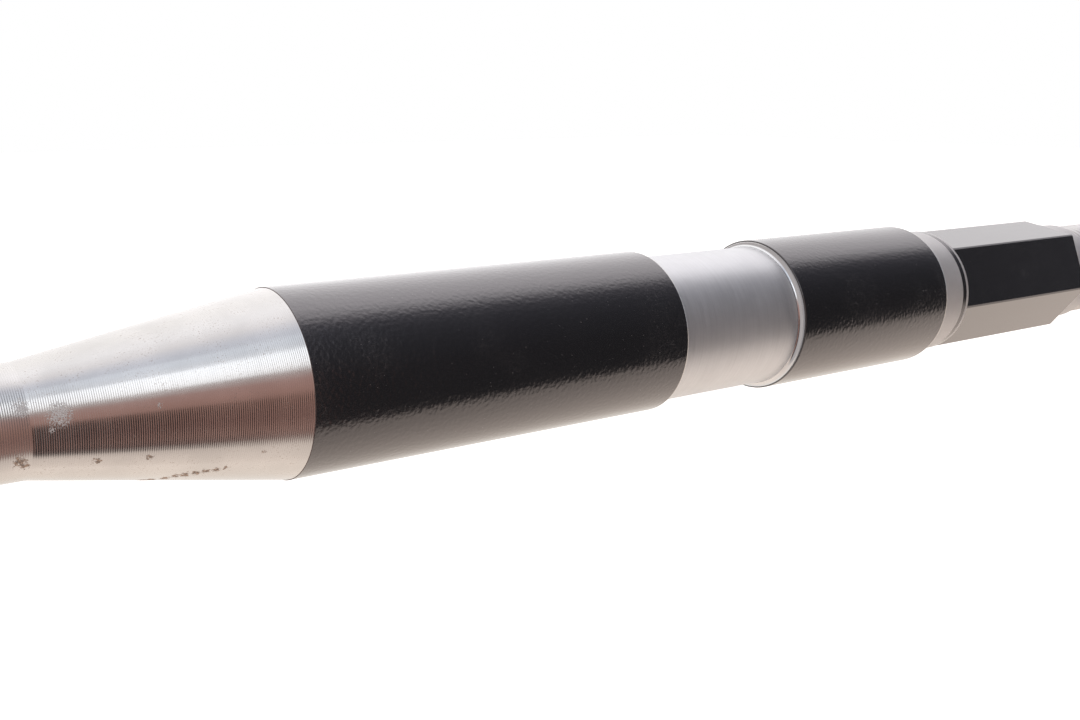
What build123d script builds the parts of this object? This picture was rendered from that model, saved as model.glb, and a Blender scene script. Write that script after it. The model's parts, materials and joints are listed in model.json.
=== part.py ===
"""Steering tie rod: inner axial ball joint, forged rod, lock nut and outer ball joint.

Frame: the rod's axis is +X, from the rack towards the wheel. +Z is up.
The origin is on the axis at the shoulder that seats against the steering rack.
All lengths are in millimetres.
"""

import os
from math import asin, cos, degrees, radians, sin, sqrt, tan

from build123d import *

os.makedirs("parts", exist_ok=True)

# Length between the two ball centres, which names the size of a tie rod
ball_to_ball = 390.0

# Fits shared by all joints
running_gap = 0.08
thread_gap = 0.05
seat_gap = 0.3
press_gap = 0.05

# Ball joint swing, for each of two crossed axes
swing = 18.0
swing_margin = 3.0
swing_total = degrees(asin(sin(radians(swing)) * sqrt(2.0)))
half_turn = 180.0
quarter_turn = 90.0

# Rack stud and inner housing
rack_thread_r = 9.0
rack_thread_length = 18.0
thread_chamfer = 1.0
inner_ball_x = 22.0
inner_ball_r = 14.0
inner_seat_wall = 2.0
inner_housing_wall = 3.9
shoulder_r = 17.0
shoulder_chamfer = 3.0
inner_flat_width = 36.0
inner_flat_length = 12.0
ball_pole_r = 4.0
pad_half_angle = 22.0

# Disc springs that load the two joints
spring_sheet = 0.8
spring_cone = 0.55
inner_spring_r = 8.0
inner_spring_bore_r = 3.0
outer_spring_r = 13.0
outer_spring_bore_r = 4.5

# Rod
shank_r = 6.0
neck_fillet = 1.5
cone_length = 27.5
cone_end_r = 10.93
cone_blend = 2.0
barrel_r = 11.0
barrel_length = 54.0
groove_r = 10.08
groove_length = 22.5
groove_fillet = 0.9
land_length = 32.9
collar_r = 9.8
collar_length = 7.1
hexagon_flats = 17.0
hexagon_length = 35.0
hexagon_roll = 39.8
relief_r = 8.45
relief_length = 4.5
relief_chamfer = 0.7
rod_thread_r = 8.0
rod_thread_length = 79.0

# Lock nut and threaded sleeve of the outer end
nut_to_hexagon = 38.5
lock_nut_flats = 24.0
lock_nut_height = 8.0
nut_chamfer_angle = 30.0
sleeve_r = 12.5
sleeve_flats = 22.0
sleeve_flat_length = 13.0
bore_depth = 52.0
sleeve_to_ball = 87.0
sleeve_neck_r = 9.5
sleeve_edge = 0.8
sleeve_step = 3.0
neck_length = 22.0
neck_root_depth = 8.0
neck_root_cover = 1.0
neck_root_height = 17.6
neck_blend = 4.0
forging_fillet = 2.5

# Outer ball housing, with its axis along Z through the ball
outer_ball_r = 13.0
outer_seat_wall = 2.42
outer_housing_r = 20.0
mouth_depth = 14.5
mouth_flare = 2.3
bead_inset = 2.6
bead_height = 1.2
boot_groove_depth = 1.2
boot_groove_height = 2.6
body_edge = 0.6
cover_ledge = 0.82
cover_thickness = 2.0
cover_dome = 1.2
cover_dome_r = 9.0
cover_dome_run = 2.8
cover_dome_step = 0.9
rim_overlap = 1.8
rim_thickness = 1.2
rim_bevel = 1.2
rim_bevel_height = 5.25

# Ball stud
stud_neck_r = 6.5
stud_collar_r = 7.9
stud_collar_top = 21.0
taper_top = 29.0
taper_length = 18.0
taper_ratio = 8.0
stud_thread_r = 6.0
stud_end = 66.0
stud_undercut = 1.2
stud_thread_lead = 0.6

# Castle nut and split pin
stud_nut_flats = 19.0
stud_nut_top = 49.6
stud_nut_hex_height = 8.0
crown_r = 8.6
crown_height = 5.0
crown_slot_width = 3.4
pin_r = 1.4
pin_hole_r = 1.6
pin_eye_r = 2.4
pin_eye_wire_r = 0.8
pin_leg_r = 0.75
pin_leg_offset = 0.7
pin_leg_length = 5.5
pin_leg_rise = 1.3
pin_leg_splay = 1.4
pin_leg_start = 0.4
pin_leg_root = 2.0
pin_bend_r = 1.2
pin_drop = 0.35

# Rubber boot and its two wire rings
boot_wall = 1.6
boot_bulge_overhang = 0.8
boot_bulge_drop = 2.4
boot_turn_in = 5.0
boot_turn_out = 2.6
boot_turn_in_drop = 3.4
boot_turn_out_drop = 3.9
boot_waist_in = 2.2
boot_waist_out = 2.4
boot_collar_wall = 1.8
boot_stud_collar_wall = 2.25
boot_lip_height = 4.6
boot_lip_inset = 0.6
ring_wire_r = 0.7
small_ring_wire_r = 0.6

# Stations along the rod, from the outer ball back to the shank
outer_ball_x = inner_ball_x + ball_to_ball
sleeve_x = outer_ball_x - sleeve_to_ball
lock_nut_x = sleeve_x - lock_nut_height
relief_x = lock_nut_x - nut_to_hexagon
hexagon_x = relief_x - hexagon_length
collar_x = hexagon_x - collar_length
land_x = collar_x - land_length
groove_x = land_x - groove_length
barrel_x = groove_x - barrel_length
thread_x = relief_x + relief_length
rod_end_x = thread_x + rod_thread_length

# Spherical walls of the two joints
inner_seat_in = inner_ball_r + running_gap
inner_seat_out = inner_seat_in + inner_seat_wall
inner_pocket_r = inner_seat_out + running_gap
inner_housing_r = inner_pocket_r + inner_housing_wall
outer_seat_in = outer_ball_r + running_gap
outer_seat_out = outer_seat_in + outer_seat_wall
outer_pocket_r = outer_seat_out + running_gap

# Places that follow from the outer housing's walls
bead_r = outer_housing_r - bead_inset
boot_groove_r = bead_r - boot_groove_depth
boot_bulge_r = outer_housing_r + boot_bulge_overhang
cover_r = outer_pocket_r + cover_ledge
rim_r = cover_r - rim_overlap
cover_seat_z = outer_seat_out + seat_gap + spring_sheet + spring_cone

# Angles from each joint's mouth axis
inner_neck_angle = degrees(asin(shank_r / inner_ball_r))
inner_seat_mouth = inner_neck_angle + swing + 2 * swing_margin
inner_housing_mouth = inner_neck_angle + swing_total + swing_margin
outer_neck_angle = degrees(asin(stud_neck_r / outer_ball_r))
outer_seat_mouth = outer_neck_angle + swing + swing_margin
outer_housing_mouth = outer_neck_angle + swing_total + 0.5 * swing_margin
seat_back = pad_half_angle + swing + swing_margin

side = Plane.XZ
outer_side = Plane(origin=(outer_ball_x, 0, 0), x_dir=(1, 0, 0), z_dir=(0, -1, 0))
stud_axis = Axis((outer_ball_x, 0, 0), (0, 0, 1))


def polar(centre_x, radius, angle):
    """A point on a circle about (centre_x, 0), in a side plane."""
    turn = radians(angle)
    return (centre_x + radius * cos(turn), radius * sin(turn))


def band_outline(centre_x, inside_r, outside_r, first, last):
    """Section of a spherical wall between two angles."""
    with BuildLine() as outline:
        CenterArc((centre_x, 0), outside_r, first, last - first)
        CenterArc((centre_x, 0), inside_r, first, last - first)
        Line(polar(centre_x, inside_r, first), polar(centre_x, outside_r, first))
        Line(polar(centre_x, inside_r, last), polar(centre_x, outside_r, last))
    return outline


def ring_edges(part, x):
    """Round edges that lie at one station along the rod."""
    circles = part.edges().filter_by(GeomType.CIRCLE)
    return circles.filter_by_position(Axis.X, x - 0.01, x + 0.01).sort_by(SortBy.RADIUS)


def finish(part, name):
    part.label = name
    export_step(part, f"parts/{name}.step")


# Inner housing: threaded stud, wrench flats, and a pocket rolled over the ball
spring_floor_x = inner_ball_x - inner_pocket_r - spring_sheet - spring_cone + running_gap
with BuildPart() as inner_housing:
    with BuildSketch(side):
        with BuildLine():
            Polyline(
                (-rack_thread_length, 0),
                (-rack_thread_length, rack_thread_r - thread_chamfer),
                (thread_chamfer - rack_thread_length, rack_thread_r),
                (0, rack_thread_r),
                (0, shoulder_r),
                (shoulder_chamfer, inner_housing_r),
                (inner_ball_x, inner_housing_r),
            )
            CenterArc(
                (inner_ball_x, 0), inner_housing_r, quarter_turn, inner_housing_mouth - quarter_turn
            )
            Line(
                polar(inner_ball_x, inner_housing_r, inner_housing_mouth),
                polar(inner_ball_x, inner_pocket_r, inner_housing_mouth),
            )
            CenterArc(
                (inner_ball_x, 0), inner_pocket_r, inner_housing_mouth, half_turn - inner_housing_mouth
            )
            Line((inner_ball_x - inner_pocket_r, 0), (-rack_thread_length, 0))
        make_face()
    revolve(axis=Axis.X)
    with BuildSketch(Plane.YZ.offset(spring_floor_x)):
        Circle(inner_spring_r + seat_gap)
    extrude(amount=inner_ball_x - spring_floor_x, mode=Mode.SUBTRACT)
    with BuildSketch(Plane.YZ):
        Circle(inner_housing_r + seat_gap)
        Rectangle(2 * inner_housing_r + 1, inner_flat_width, mode=Mode.SUBTRACT)
    extrude(amount=inner_flat_length, mode=Mode.SUBTRACT)
finish(inner_housing.part, "inner_housing")

# Inner ball seat: plastic band round the ball, open at the mouth and the back
with BuildPart() as inner_ball_seat:
    with BuildSketch(side):
        band = band_outline(
            inner_ball_x, inner_seat_in, inner_seat_out, inner_seat_mouth, half_turn - seat_back
        )
        add(band.line)
        make_face()
    revolve(axis=Axis.X)
finish(inner_ball_seat.part, "inner_ball_seat")

# Inner thrust pad: cap behind the ball
with BuildPart() as inner_thrust_pad:
    with BuildSketch(side):
        band = band_outline(
            inner_ball_x, inner_seat_in, inner_seat_out, half_turn - pad_half_angle, half_turn
        )
        add(band.line)
        make_face()
    revolve(axis=Axis.X)
finish(inner_thrust_pad.part, "inner_thrust_pad")

# Inner disc spring: a coned washer between the pocket floor and the pad
with BuildPart() as inner_disc_spring:
    with BuildSketch(side):
        with BuildLine():
            Polyline(
                (spring_floor_x, inner_spring_r),
                (spring_floor_x + spring_sheet, inner_spring_r),
                (spring_floor_x + spring_sheet + spring_cone - seat_gap, inner_spring_bore_r),
                (spring_floor_x + spring_cone - seat_gap, inner_spring_bore_r),
                close=True,
            )
        make_face()
    revolve(axis=Axis.X)
finish(inner_disc_spring.part, "inner_disc_spring")

# Rod: ball, shank, cone, barrel, boot groove, land, collar, hexagon and thread in one forging
pole_x = inner_ball_x - sqrt(inner_ball_r**2 - ball_pole_r**2)
neck_x = inner_ball_x + sqrt(inner_ball_r**2 - shank_r**2)
with BuildPart() as rod:
    with BuildSketch(side):
        with BuildLine():
            Line((pole_x, 0), (pole_x, ball_pole_r))
            ThreePointArc((pole_x, ball_pole_r), (inner_ball_x, inner_ball_r), (neck_x, shank_r))
            Polyline(
                (neck_x, shank_r),
                (barrel_x - cone_length, shank_r),
                (barrel_x, cone_end_r),
                (barrel_x, barrel_r),
                (groove_x, barrel_r),
                (groove_x, groove_r),
                (land_x, groove_r),
                (land_x, barrel_r),
                (collar_x, barrel_r),
                (collar_x, collar_r),
                (relief_x, collar_r),
                (relief_x + relief_chamfer, relief_r),
                (thread_x - relief_r + rod_thread_r, relief_r),
                (thread_x, rod_thread_r),
                (rod_end_x - thread_chamfer, rod_thread_r),
                (rod_end_x, rod_thread_r - thread_chamfer),
                (rod_end_x, 0),
                (pole_x, 0),
            )
        make_face()
    revolve(axis=Axis.X)
    with BuildSketch(Plane.YZ.offset(hexagon_x)):
        Circle(barrel_r)
        RegularPolygon(
            hexagon_flats / 2,
            6,
            major_radius=False,
            rotation=quarter_turn + hexagon_roll,
            mode=Mode.SUBTRACT,
        )
    extrude(amount=hexagon_length + relief_chamfer, mode=Mode.SUBTRACT)
    fillet(ring_edges(rod.part, neck_x), neck_fillet)
    fillet(ring_edges(rod.part, barrel_x - cone_length), cone_blend)
    fillet(ring_edges(rod.part, land_x)[0], groove_fillet)
finish(rod.part, "rod")


def hexagon_nut(plane, axis, flats, height, bore_r):
    """A chamfered hexagon nut standing on a plane, with its bore along the plane's normal."""
    corner_r = flats / sqrt(3.0)
    drop = (corner_r - flats / 2) * tan(radians(nut_chamfer_angle))
    section = Plane(origin=plane.origin, x_dir=plane.x_dir, z_dir=-plane.y_dir)
    with BuildPart() as nut:
        with BuildSketch(plane):
            RegularPolygon(flats / 2, 6, major_radius=False)
            Circle(bore_r, mode=Mode.SUBTRACT)
        extrude(amount=height)
        with BuildSketch(section):
            with BuildLine():
                Polyline(
                    (0, 0),
                    (flats / 2, 0),
                    (corner_r, drop),
                    (corner_r, height - drop),
                    (flats / 2, height),
                    (0, height),
                    close=True,
                )
            make_face()
        revolve(axis=axis, mode=Mode.INTERSECT)
    return nut.part


# Lock nut on the rod's thread, tight against the sleeve
nut_plane = Plane(origin=(lock_nut_x, 0, 0), x_dir=(0, 1, 0), z_dir=(1, 0, 0))
lock_nut = hexagon_nut(
    nut_plane, Axis.X, lock_nut_flats, lock_nut_height, rod_thread_r + thread_gap
)
finish(lock_nut, "lock_nut")

# Outer housing: forged ball body with a threaded sleeve
bead_top = bead_height - mouth_depth
boot_groove_top = bead_top + boot_groove_height
rim_top = cover_seat_z + cover_thickness + press_gap + rim_thickness
lip_point = polar(0, outer_pocket_r, outer_housing_mouth - quarter_turn)
neck_x0 = outer_ball_x - outer_housing_r - neck_length
sleeve_end_x = neck_x0 - sleeve_step
neck_root_chord = sqrt(outer_housing_r**2 - (outer_housing_r - neck_root_depth) ** 2)
with BuildPart() as outer_housing:
    with BuildSketch(outer_side):
        with BuildLine():
            Polyline(
                (0, -mouth_depth),
                (bead_r, -mouth_depth),
                (bead_r, bead_top),
                (boot_groove_r, bead_top),
                (boot_groove_r, boot_groove_top),
                (outer_housing_r - body_edge, boot_groove_top),
                (outer_housing_r, boot_groove_top + body_edge),
                (outer_housing_r, rim_top - rim_bevel_height),
                (outer_housing_r - rim_bevel, rim_top),
                (0, rim_top),
                close=True,
            )
        make_face()
    revolve(axis=stud_axis)
    with BuildSketch(side):
        with BuildLine():
            Polyline(
                (sleeve_x, 0),
                (sleeve_x, sleeve_r - sleeve_edge),
                (sleeve_x + sleeve_edge, sleeve_r),
                (sleeve_end_x, sleeve_r),
                (neck_x0, sleeve_neck_r),
                (neck_x0, 0),
                close=True,
            )
        make_face()
    revolve(axis=Axis.X)
    with BuildSketch(Plane.YZ.offset(neck_x0)):
        Circle(sleeve_neck_r)
    with BuildSketch(Plane.YZ.offset(outer_ball_x - outer_housing_r + neck_root_depth)):
        Ellipse(neck_root_chord - neck_root_cover, neck_root_height / 2)
    loft()
    junction = outer_housing.part.edges().filter_by(GeomType.BSPLINE).sort_by(SortBy.LENGTH)[-1]
    fillet(junction, forging_fillet)
    fillet(ring_edges(outer_housing.part, neck_x0), neck_blend)
    fillet(ring_edges(outer_housing.part, sleeve_end_x), neck_blend)
    with BuildSketch(outer_side):
        with BuildLine():
            Polyline(
                (0, -mouth_depth - 1),
                (lip_point[0] + mouth_flare, -mouth_depth - 1),
                (lip_point[0] + mouth_flare, -mouth_depth),
                lip_point,
            )
            CenterArc(
                (0, 0), outer_pocket_r, outer_housing_mouth - quarter_turn,
                quarter_turn - outer_housing_mouth,
            )
            Polyline(
                (outer_pocket_r, 0),
                (outer_pocket_r, cover_seat_z),
                (cover_r + press_gap, cover_seat_z),
                (cover_r + press_gap, cover_seat_z + cover_thickness + press_gap),
                (rim_r, cover_seat_z + cover_thickness + press_gap),
                (rim_r, rim_top + 1),
                (0, rim_top + 1),
                (0, -mouth_depth - 1),
            )
        make_face()
    revolve(axis=stud_axis, mode=Mode.SUBTRACT)
    with BuildSketch(Plane.YZ.offset(sleeve_x)):
        Circle(rod_thread_r + thread_gap)
    extrude(amount=bore_depth, mode=Mode.SUBTRACT)
    with BuildSketch(Plane.YZ.offset(sleeve_x)):
        Circle(sleeve_r + seat_gap)
        Rectangle(2 * sleeve_r + 1, sleeve_flats, mode=Mode.SUBTRACT)
    extrude(amount=sleeve_flat_length, mode=Mode.SUBTRACT)
finish(outer_housing.part, "outer_housing")

# Outer cover: pressed plate with a shallow dome, held under the rolled rim
cover_foot_r = cover_dome_r + cover_dome_run
with BuildPart() as outer_cover:
    with BuildSketch(outer_side):
        with BuildLine():
            Polyline(
                (0, cover_seat_z + cover_dome),
                (cover_dome_r, cover_seat_z + cover_dome),
                (cover_foot_r, cover_seat_z),
                (cover_r, cover_seat_z),
                (cover_r, cover_seat_z + cover_thickness),
                (cover_foot_r + cover_dome_step, cover_seat_z + cover_thickness),
                (cover_dome_r + cover_dome_step, cover_seat_z + cover_thickness + cover_dome),
                (0, cover_seat_z + cover_thickness + cover_dome),
                close=True,
            )
        make_face()
    revolve(axis=stud_axis)
finish(outer_cover.part, "outer_cover")

# Outer disc spring: a coned washer between the pad and the cover
with BuildPart() as outer_disc_spring:
    with BuildSketch(outer_side):
        with BuildLine():
            Polyline(
                (outer_spring_r, cover_seat_z),
                (outer_spring_r, cover_seat_z - spring_sheet),
                (outer_spring_bore_r, cover_seat_z - spring_sheet - spring_cone),
                (outer_spring_bore_r, cover_seat_z - spring_cone),
                close=True,
            )
        make_face()
    revolve(axis=stud_axis)
finish(outer_disc_spring.part, "outer_disc_spring")

# Outer ball seat: plastic band round the ball
with BuildPart() as outer_ball_seat:
    with BuildSketch(outer_side):
        band = band_outline(
            0, outer_seat_in, outer_seat_out, outer_seat_mouth - quarter_turn, quarter_turn - seat_back
        )
        add(band.line)
        make_face()
    revolve(axis=stud_axis)
finish(outer_ball_seat.part, "outer_ball_seat")

# Outer thrust pad: cap over the ball
with BuildPart() as outer_thrust_pad:
    with BuildSketch(outer_side):
        band = band_outline(
            0, outer_seat_in, outer_seat_out, quarter_turn - pad_half_angle, quarter_turn
        )
        add(band.line)
        make_face()
    revolve(axis=stud_axis)
finish(outer_thrust_pad.part, "outer_thrust_pad")

# Ball stud: ball, neck, boot collar, taper for the steering arm, thread and pin hole
taper_end = taper_top + taper_length
taper_end_r = stud_collar_r - taper_length / (2 * taper_ratio)
stud_neck_z = -sqrt(outer_ball_r**2 - stud_neck_r**2)
stud_pole_z = sqrt(outer_ball_r**2 - ball_pole_r**2)
stud_nut_bottom = stud_nut_top + stud_nut_hex_height + crown_height
pin_z = crown_height / 2 - stud_nut_bottom - pin_drop
with BuildPart() as ball_stud:
    with BuildSketch(outer_side):
        with BuildLine():
            Line((0, stud_pole_z), (ball_pole_r, stud_pole_z))
            ThreePointArc(
                (ball_pole_r, stud_pole_z), (outer_ball_r, 0), (stud_neck_r, stud_neck_z)
            )
            Polyline(
                (stud_neck_r, stud_neck_z),
                (stud_neck_r, stud_collar_r - stud_neck_r - stud_collar_top),
                (stud_collar_r, -stud_collar_top),
                (stud_collar_r, -taper_top),
                (taper_end_r, -taper_end),
                (stud_thread_r - stud_undercut / 2, -taper_end),
                (stud_thread_r - stud_undercut / 2, -taper_end - stud_undercut),
                (stud_thread_r, -taper_end - stud_undercut - stud_thread_lead),
                (stud_thread_r, thread_chamfer - stud_end),
                (stud_thread_r - thread_chamfer, -stud_end),
                (0, -stud_end),
                (0, stud_pole_z),
            )
        make_face()
    revolve(axis=stud_axis)
    with BuildSketch(Plane(origin=(outer_ball_x, 0, pin_z), x_dir=(1, 0, 0), z_dir=(0, 1, 0))):
        Circle(pin_hole_r)
    extrude(amount=2 * stud_thread_r, both=True, mode=Mode.SUBTRACT)
finish(ball_stud.part, "ball_stud")

# Castle nut: hexagon with a slotted crown at its lower end
nut_top_plane = Plane(
    origin=(outer_ball_x, 0, -stud_nut_top), x_dir=(1, 0, 0), z_dir=(0, 0, -1)
)
castle_bore_r = stud_thread_r + thread_gap
castle_hexagon = hexagon_nut(
    nut_top_plane, stud_axis, stud_nut_flats, stud_nut_hex_height, castle_bore_r
)
with BuildPart() as stud_nut:
    add(castle_hexagon)
    with BuildSketch(Plane(origin=(outer_ball_x, 0, -stud_nut_bottom), z_dir=(0, 0, 1))):
        Circle(crown_r)
        Circle(castle_bore_r, mode=Mode.SUBTRACT)
    extrude(amount=crown_height)
    with BuildSketch(Plane(origin=(outer_ball_x, 0, -stud_nut_bottom), z_dir=(0, 0, 1))):
        with PolarLocations(crown_r, 3, start_angle=30):
            Rectangle(4 * crown_r, crown_slot_width)
    extrude(amount=crown_height, mode=Mode.SUBTRACT)
finish(stud_nut.part, "stud_nut")

# Rubber boot: large collar in the housing groove, one bulge, small collar on the stud
boot_top = boot_groove_top - seat_gap / 3
boot_large_in = boot_groove_r + seat_gap
boot_large_out = boot_large_in + boot_collar_wall
boot_small_in = stud_collar_r + seat_gap
boot_small_out = boot_small_in + boot_stud_collar_wall
boot_bottom = seat_gap - taper_top
boot_lip_top = boot_bottom + boot_lip_height
boot_neck_z = boot_lip_top - boot_wall
bulge_z = -mouth_depth - boot_bulge_drop
with BuildPart() as dust_boot:
    with BuildSketch(outer_side):
        with BuildLine():
            Polyline(
                (boot_large_out, bead_top),
                (boot_large_out, boot_top),
                (boot_large_in, boot_top),
                (boot_large_in, bead_top + seat_gap),
                (bead_r + seat_gap, bead_top + seat_gap),
                (bead_r + seat_gap, -mouth_depth),
            )
            Spline(
                (bead_r + seat_gap, -mouth_depth),
                (boot_bulge_r - boot_wall, bulge_z),
                (boot_bulge_r - boot_turn_in, bulge_z - boot_turn_in_drop),
                (boot_small_in + boot_waist_in, boot_lip_top + boot_wall / 2),
                (boot_small_in, boot_lip_top - boot_lip_inset),
            )
            Polyline(
                (boot_small_in, boot_lip_top - boot_lip_inset),
                (boot_small_in, boot_bottom),
                (boot_small_out, boot_bottom),
                (boot_small_out, boot_neck_z),
            )
            Spline(
                (boot_small_out, boot_neck_z),
                (boot_small_out + boot_waist_out, boot_neck_z + boot_wall / 4),
                (boot_bulge_r - boot_turn_out, bulge_z - boot_turn_out_drop),
                (boot_bulge_r, bulge_z),
                (boot_large_out, bead_top),
            )
        make_face()
    revolve(axis=stud_axis)
finish(dust_boot.part, "dust_boot")


def wire_ring(radius, wire_r, z):
    with BuildPart() as ring:
        with BuildSketch(outer_side):
            with Locations((radius, z)):
                Circle(wire_r)
        revolve(axis=stud_axis)
    return ring.part


# Wire rings that clamp the two ends of the boot
large_ring_z = (boot_top + bead_top) / 2
small_ring_z = (boot_bottom + boot_neck_z) / 2
large_ring_r = boot_large_out + ring_wire_r + press_gap
small_ring_r = boot_small_out + small_ring_wire_r + press_gap
finish(wire_ring(large_ring_r, ring_wire_r, large_ring_z), "boot_housing_ring")
finish(wire_ring(small_ring_r, small_ring_wire_r, small_ring_z), "boot_stud_ring")

# Split pin through the crown and the stud, with its eye and two bent legs
pin_reach = crown_r + pin_leg_r
eye_y = -pin_reach - pin_eye_r
leg_y = pin_reach - pin_leg_root
upper_leg = [
    (leg_y, pin_leg_offset),
    (pin_reach + pin_leg_rise, pin_leg_offset),
    (pin_reach + pin_leg_rise, pin_leg_length),
]
lower_leg = [
    (leg_y, -pin_leg_offset),
    (pin_reach + pin_leg_start, -pin_leg_offset),
    (pin_reach + pin_leg_splay, -pin_leg_length),
]
pin_end_plane = Plane(origin=(outer_ball_x, pin_reach, pin_z), x_dir=(1, 0, 0), z_dir=(0, -1, 0))
eye_plane = Plane(origin=(outer_ball_x, eye_y, pin_z), x_dir=(1, 0, 0), z_dir=(0, -1, 0))
leg_plane = Plane(origin=(outer_ball_x, 0, pin_z), x_dir=(0, 1, 0), z_dir=(1, 0, 0))
with BuildPart() as cotter_pin:
    with BuildSketch(pin_end_plane):
        Circle(pin_r)
    extrude(amount=2 * pin_reach)
    with BuildSketch(eye_plane):
        with Locations((pin_eye_r, 0)):
            Circle(pin_eye_wire_r)
    revolve(axis=Axis((outer_ball_x, eye_y, pin_z), (0, 0, 1)))
    for leg in (upper_leg, lower_leg):
        with BuildLine(leg_plane) as leg_path:
            FilletPolyline(*leg, radius=pin_bend_r)
        with BuildSketch(Plane(origin=leg_path.line @ 0, z_dir=leg_path.line % 0)):
            Circle(pin_leg_r)
        sweep(path=leg_path.line)
finish(cotter_pin.part, "cotter_pin")
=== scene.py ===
"""Looks of a steering tie rod: the painted rod, its two ball joints, boot, nuts and rings.

Lengths are in metres, in the frame's own axes: +X along the rod towards the wheel, +Z up.
"""

import json
import math

import bmesh
import bpy
from mathutils import Matrix, Vector


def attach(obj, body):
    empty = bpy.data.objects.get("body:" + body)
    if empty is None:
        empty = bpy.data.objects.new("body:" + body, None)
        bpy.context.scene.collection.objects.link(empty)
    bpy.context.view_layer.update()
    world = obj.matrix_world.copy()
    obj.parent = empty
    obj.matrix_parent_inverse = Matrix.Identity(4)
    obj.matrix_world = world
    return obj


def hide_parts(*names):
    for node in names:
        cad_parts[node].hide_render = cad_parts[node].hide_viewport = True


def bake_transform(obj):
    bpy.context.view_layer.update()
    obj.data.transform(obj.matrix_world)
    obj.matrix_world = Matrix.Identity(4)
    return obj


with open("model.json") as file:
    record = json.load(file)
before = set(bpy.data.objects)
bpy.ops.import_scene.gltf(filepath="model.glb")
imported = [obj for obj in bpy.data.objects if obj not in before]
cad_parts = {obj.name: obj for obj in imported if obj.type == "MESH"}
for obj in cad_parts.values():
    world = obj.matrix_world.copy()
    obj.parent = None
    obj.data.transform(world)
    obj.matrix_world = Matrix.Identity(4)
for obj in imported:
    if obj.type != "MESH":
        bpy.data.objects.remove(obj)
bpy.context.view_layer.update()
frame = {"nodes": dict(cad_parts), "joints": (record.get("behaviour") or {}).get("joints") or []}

MM = 0.001
FULL_TURN = 2.0 * math.pi

# Centres of the two ball joints, from the frame's joints
joint_at = {joint["name"]: joint for joint in frame["joints"]}
INNER_BALL_X = joint_at["rod_turn"]["pos_m"][0]
OUTER_BALL_X = joint_at["stud_turn"]["pos_m"][0]

# Rod sizes, as in the part's source
INNER_BALL_R = 14.0 * MM
SHANK_R = 6.0 * MM
BALL_TO_BARREL = 105.0 * MM
CONE_LENGTH = 27.5 * MM
CONE_END_R = 10.93 * MM
BARREL_R = 11.0 * MM
BARREL_LENGTH = 54.0 * MM
GROOVE_R = 10.08 * MM
GROOVE_LENGTH = 22.5 * MM
LAND_LENGTH = 32.9 * MM
COLLAR_R = 9.8 * MM
COLLAR_LENGTH = 7.1 * MM
HEXAGON_FLATS = 17.0 * MM
HEXAGON_LENGTH = 35.0 * MM
HEXAGON_ROLL = math.radians(90.0 + 39.8)
HEXAGON_CORNER_R = 9.72 * MM
RELIEF_R = 8.45 * MM
RELIEF_LENGTH = 4.5 * MM
ROD_THREAD_R = 8.0 * MM
ROD_THREAD_LENGTH = 79.0 * MM
ROD_PITCH = 1.5 * MM

BARREL_X = INNER_BALL_X + BALL_TO_BARREL
GROOVE_X = BARREL_X + BARREL_LENGTH
LAND_X = GROOVE_X + GROOVE_LENGTH
COLLAR_X = LAND_X + LAND_LENGTH
HEXAGON_X = COLLAR_X + COLLAR_LENGTH
RELIEF_X = HEXAGON_X + HEXAGON_LENGTH
THREAD_X = RELIEF_X + RELIEF_LENGTH
ROD_END_X = THREAD_X + ROD_THREAD_LENGTH


# Shader maths on sockets


class Socket:
    """A node's output that takes part in plain arithmetic."""

    def __init__(self, shader, output):
        self.shader = shader
        self.output = output

    def maths(self, operation, *others):
        values = dict(enumerate((self, *others)))
        return self.shader.node("ShaderNodeMath", values, operation=operation)

    def __add__(self, other):
        return self.maths("ADD", other)

    def __radd__(self, other):
        return self.maths("ADD", other)

    def __sub__(self, other):
        return self.maths("SUBTRACT", other)

    def __rsub__(self, other):
        return self.shader.node("ShaderNodeMath", {0: other, 1: self}, operation="SUBTRACT")

    def __mul__(self, other):
        return self.maths("MULTIPLY", other)

    def __rmul__(self, other):
        return self.maths("MULTIPLY", other)

    def __truediv__(self, other):
        return self.maths("DIVIDE", other)

    def __gt__(self, other):
        return self.maths("GREATER_THAN", other)

    def __lt__(self, other):
        return self.maths("LESS_THAN", other)

    def sine(self):
        return self.maths("SINE")

    def absolute(self):
        return self.maths("ABSOLUTE")

    def power(self, exponent):
        return self.maths("POWER", exponent)

    def least(self, other):
        return self.maths("MINIMUM", other)

    def most(self, other):
        return self.maths("MAXIMUM", other)

    def ramp_up(self, low, high):
        """0 below low, 1 above high, smooth between."""
        values = {"Value": self, "From Min": low, "From Max": high, "To Min": 0.0, "To Max": 1.0}
        return self.shader.node("ShaderNodeMapRange", values, interpolation_type="SMOOTHSTEP")


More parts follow.
